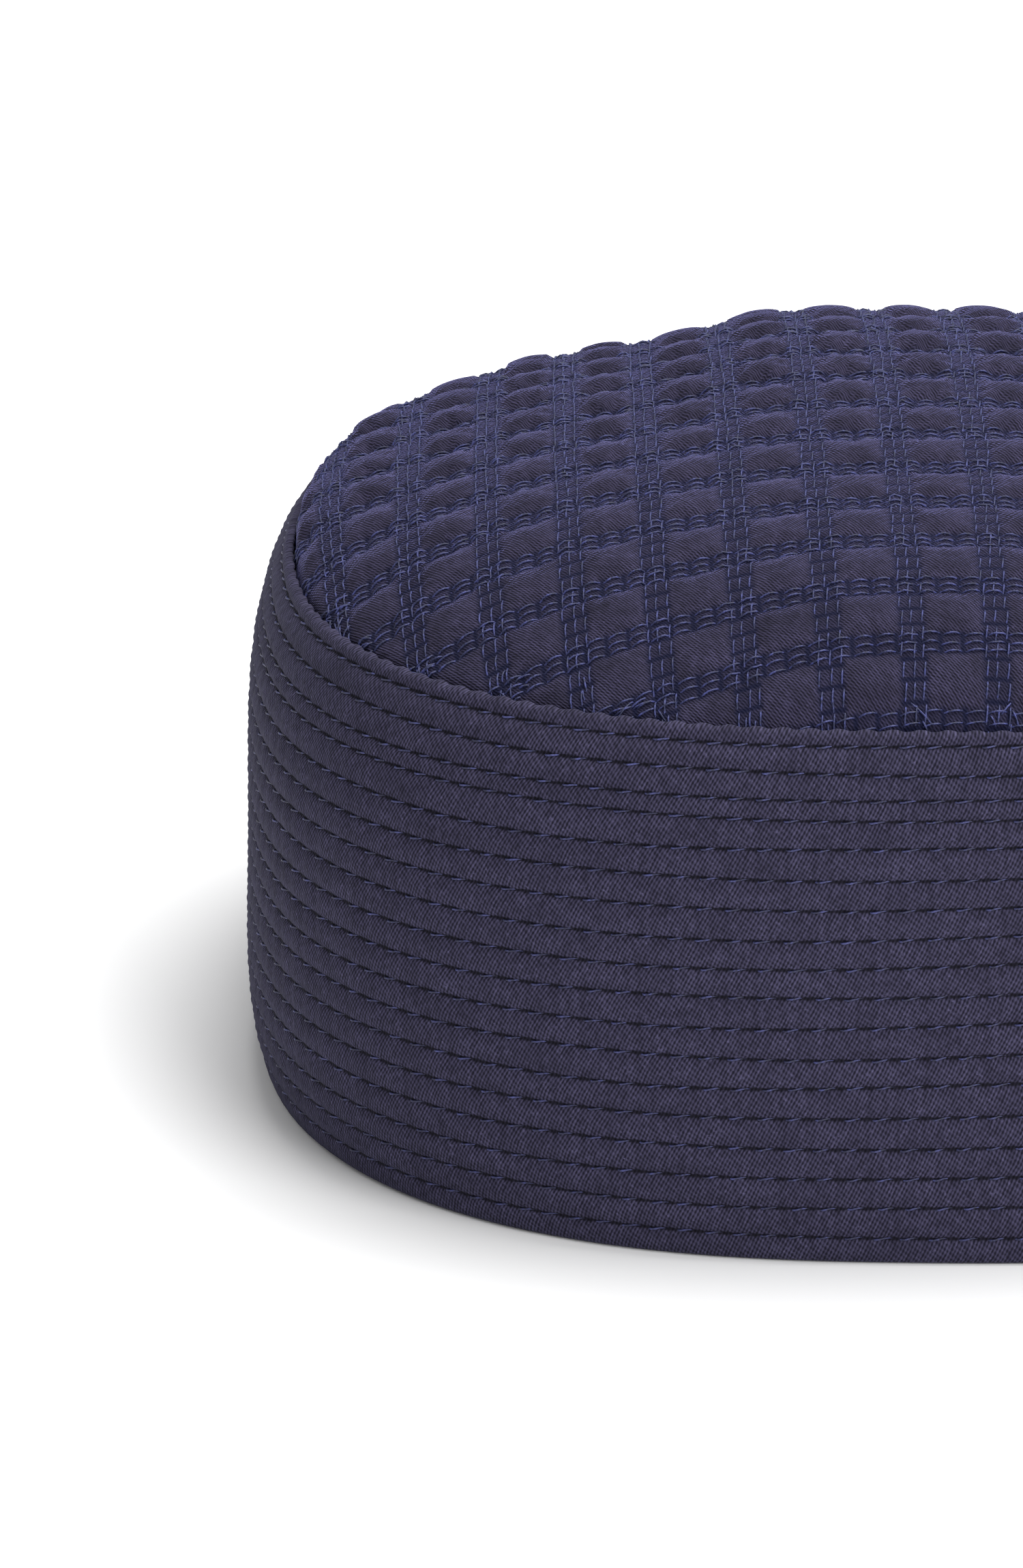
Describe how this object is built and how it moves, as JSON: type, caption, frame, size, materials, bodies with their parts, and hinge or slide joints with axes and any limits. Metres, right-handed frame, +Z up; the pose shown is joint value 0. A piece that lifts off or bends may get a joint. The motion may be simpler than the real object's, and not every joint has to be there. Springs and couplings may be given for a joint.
{
  "type": "quilted brimless cap",
  "caption": "Round brimless cloth cap with a domed, grid-quilted crown sewn into a tall stiffened band with parallel rows of topstitching.",
  "frame": {"origin": "middle of the open rim, on the surface that the cap stands on", "axes": "+Z up through the top of the crown, -Y towards the front of the cap, +X along its width"},
  "size_m": [0.1948, 0.181, 0.0977],
  "materials": {
    "band_cloth": "navy cotton blend twill with a fine self stripe, matt",
    "crown_cloth": "navy cotton blend twill, quilted, matt",
    "lining_cloth": "navy plain woven cotton, matt",
    "padding": "off-white polyester wadding and felt",
    "band_thread": "navy polyester sewing thread",
    "quilting_thread": "blue polyester sewing thread"
  },
  "bodies": {
    "root": {"band_lining": "lining_cloth", "band_shell": "band_cloth", "band_stiffener": "padding", "crown_lining": "lining_cloth", "crown_shell": "crown_cloth", "crown_wadding": "padding", "quilting_crosswise_01": "quilting_thread", "quilting_crosswise_02": "quilting_thread", "quilting_crosswise_03": "quilting_thread", "quilting_crosswise_04": "quilting_thread", "quilting_crosswise_05": "quilting_thread", "quilting_crosswise_06": "quilting_thread", "quilting_crosswise_07": "quilting_thread", "quilting_crosswise_08": "quilting_thread", "quilting_crosswise_09": "quilting_thread", "quilting_crosswise_10": "quilting_thread", "quilting_crosswise_11": "quilting_thread", "quilting_crosswise_12": "quilting_thread", "quilting_crosswise_13": "quilting_thread", "quilting_crosswise_14": "quilting_thread", "quilting_lengthwise_01": "quilting_thread", "quilting_lengthwise_02": "quilting_thread", "quilting_lengthwise_03": "quilting_thread", "quilting_lengthwise_04": "quilting_thread", "quilting_lengthwise_05": "quilting_thread", "quilting_lengthwise_06": "quilting_thread", "quilting_lengthwise_07": "quilting_thread", "quilting_lengthwise_08": "quilting_thread", "quilting_lengthwise_09": "quilting_thread", "quilting_lengthwise_10": "quilting_thread", "quilting_lengthwise_11": "quilting_thread", "quilting_lengthwise_12": "quilting_thread", "quilting_lengthwise_13": "quilting_thread", "quilting_lengthwise_14": "quilting_thread", "quilting_lengthwise_15": "quilting_thread", "quilting_lengthwise_16": "quilting_thread", "topstitch_row_01": "band_thread", "topstitch_row_02": "band_thread", "topstitch_row_03": "band_thread", "topstitch_row_04": "band_thread", "topstitch_row_05": "band_thread", "topstitch_row_06": "band_thread", "topstitch_row_07": "band_thread", "topstitch_row_08": "band_thread", "topstitch_row_09": "band_thread", "topstitch_row_10": "band_thread", "topstitch_row_11": "band_thread", "topstitch_row_12": "band_thread", "topstitch_row_13": "band_thread", "topstitch_row_14": "band_thread", "topstitch_row_15": "band_thread", "topstitch_row_16": "band_thread", "topstitch_row_17": "band_thread", "topstitch_row_18": "band_thread"}
  },
  "joints": []
}
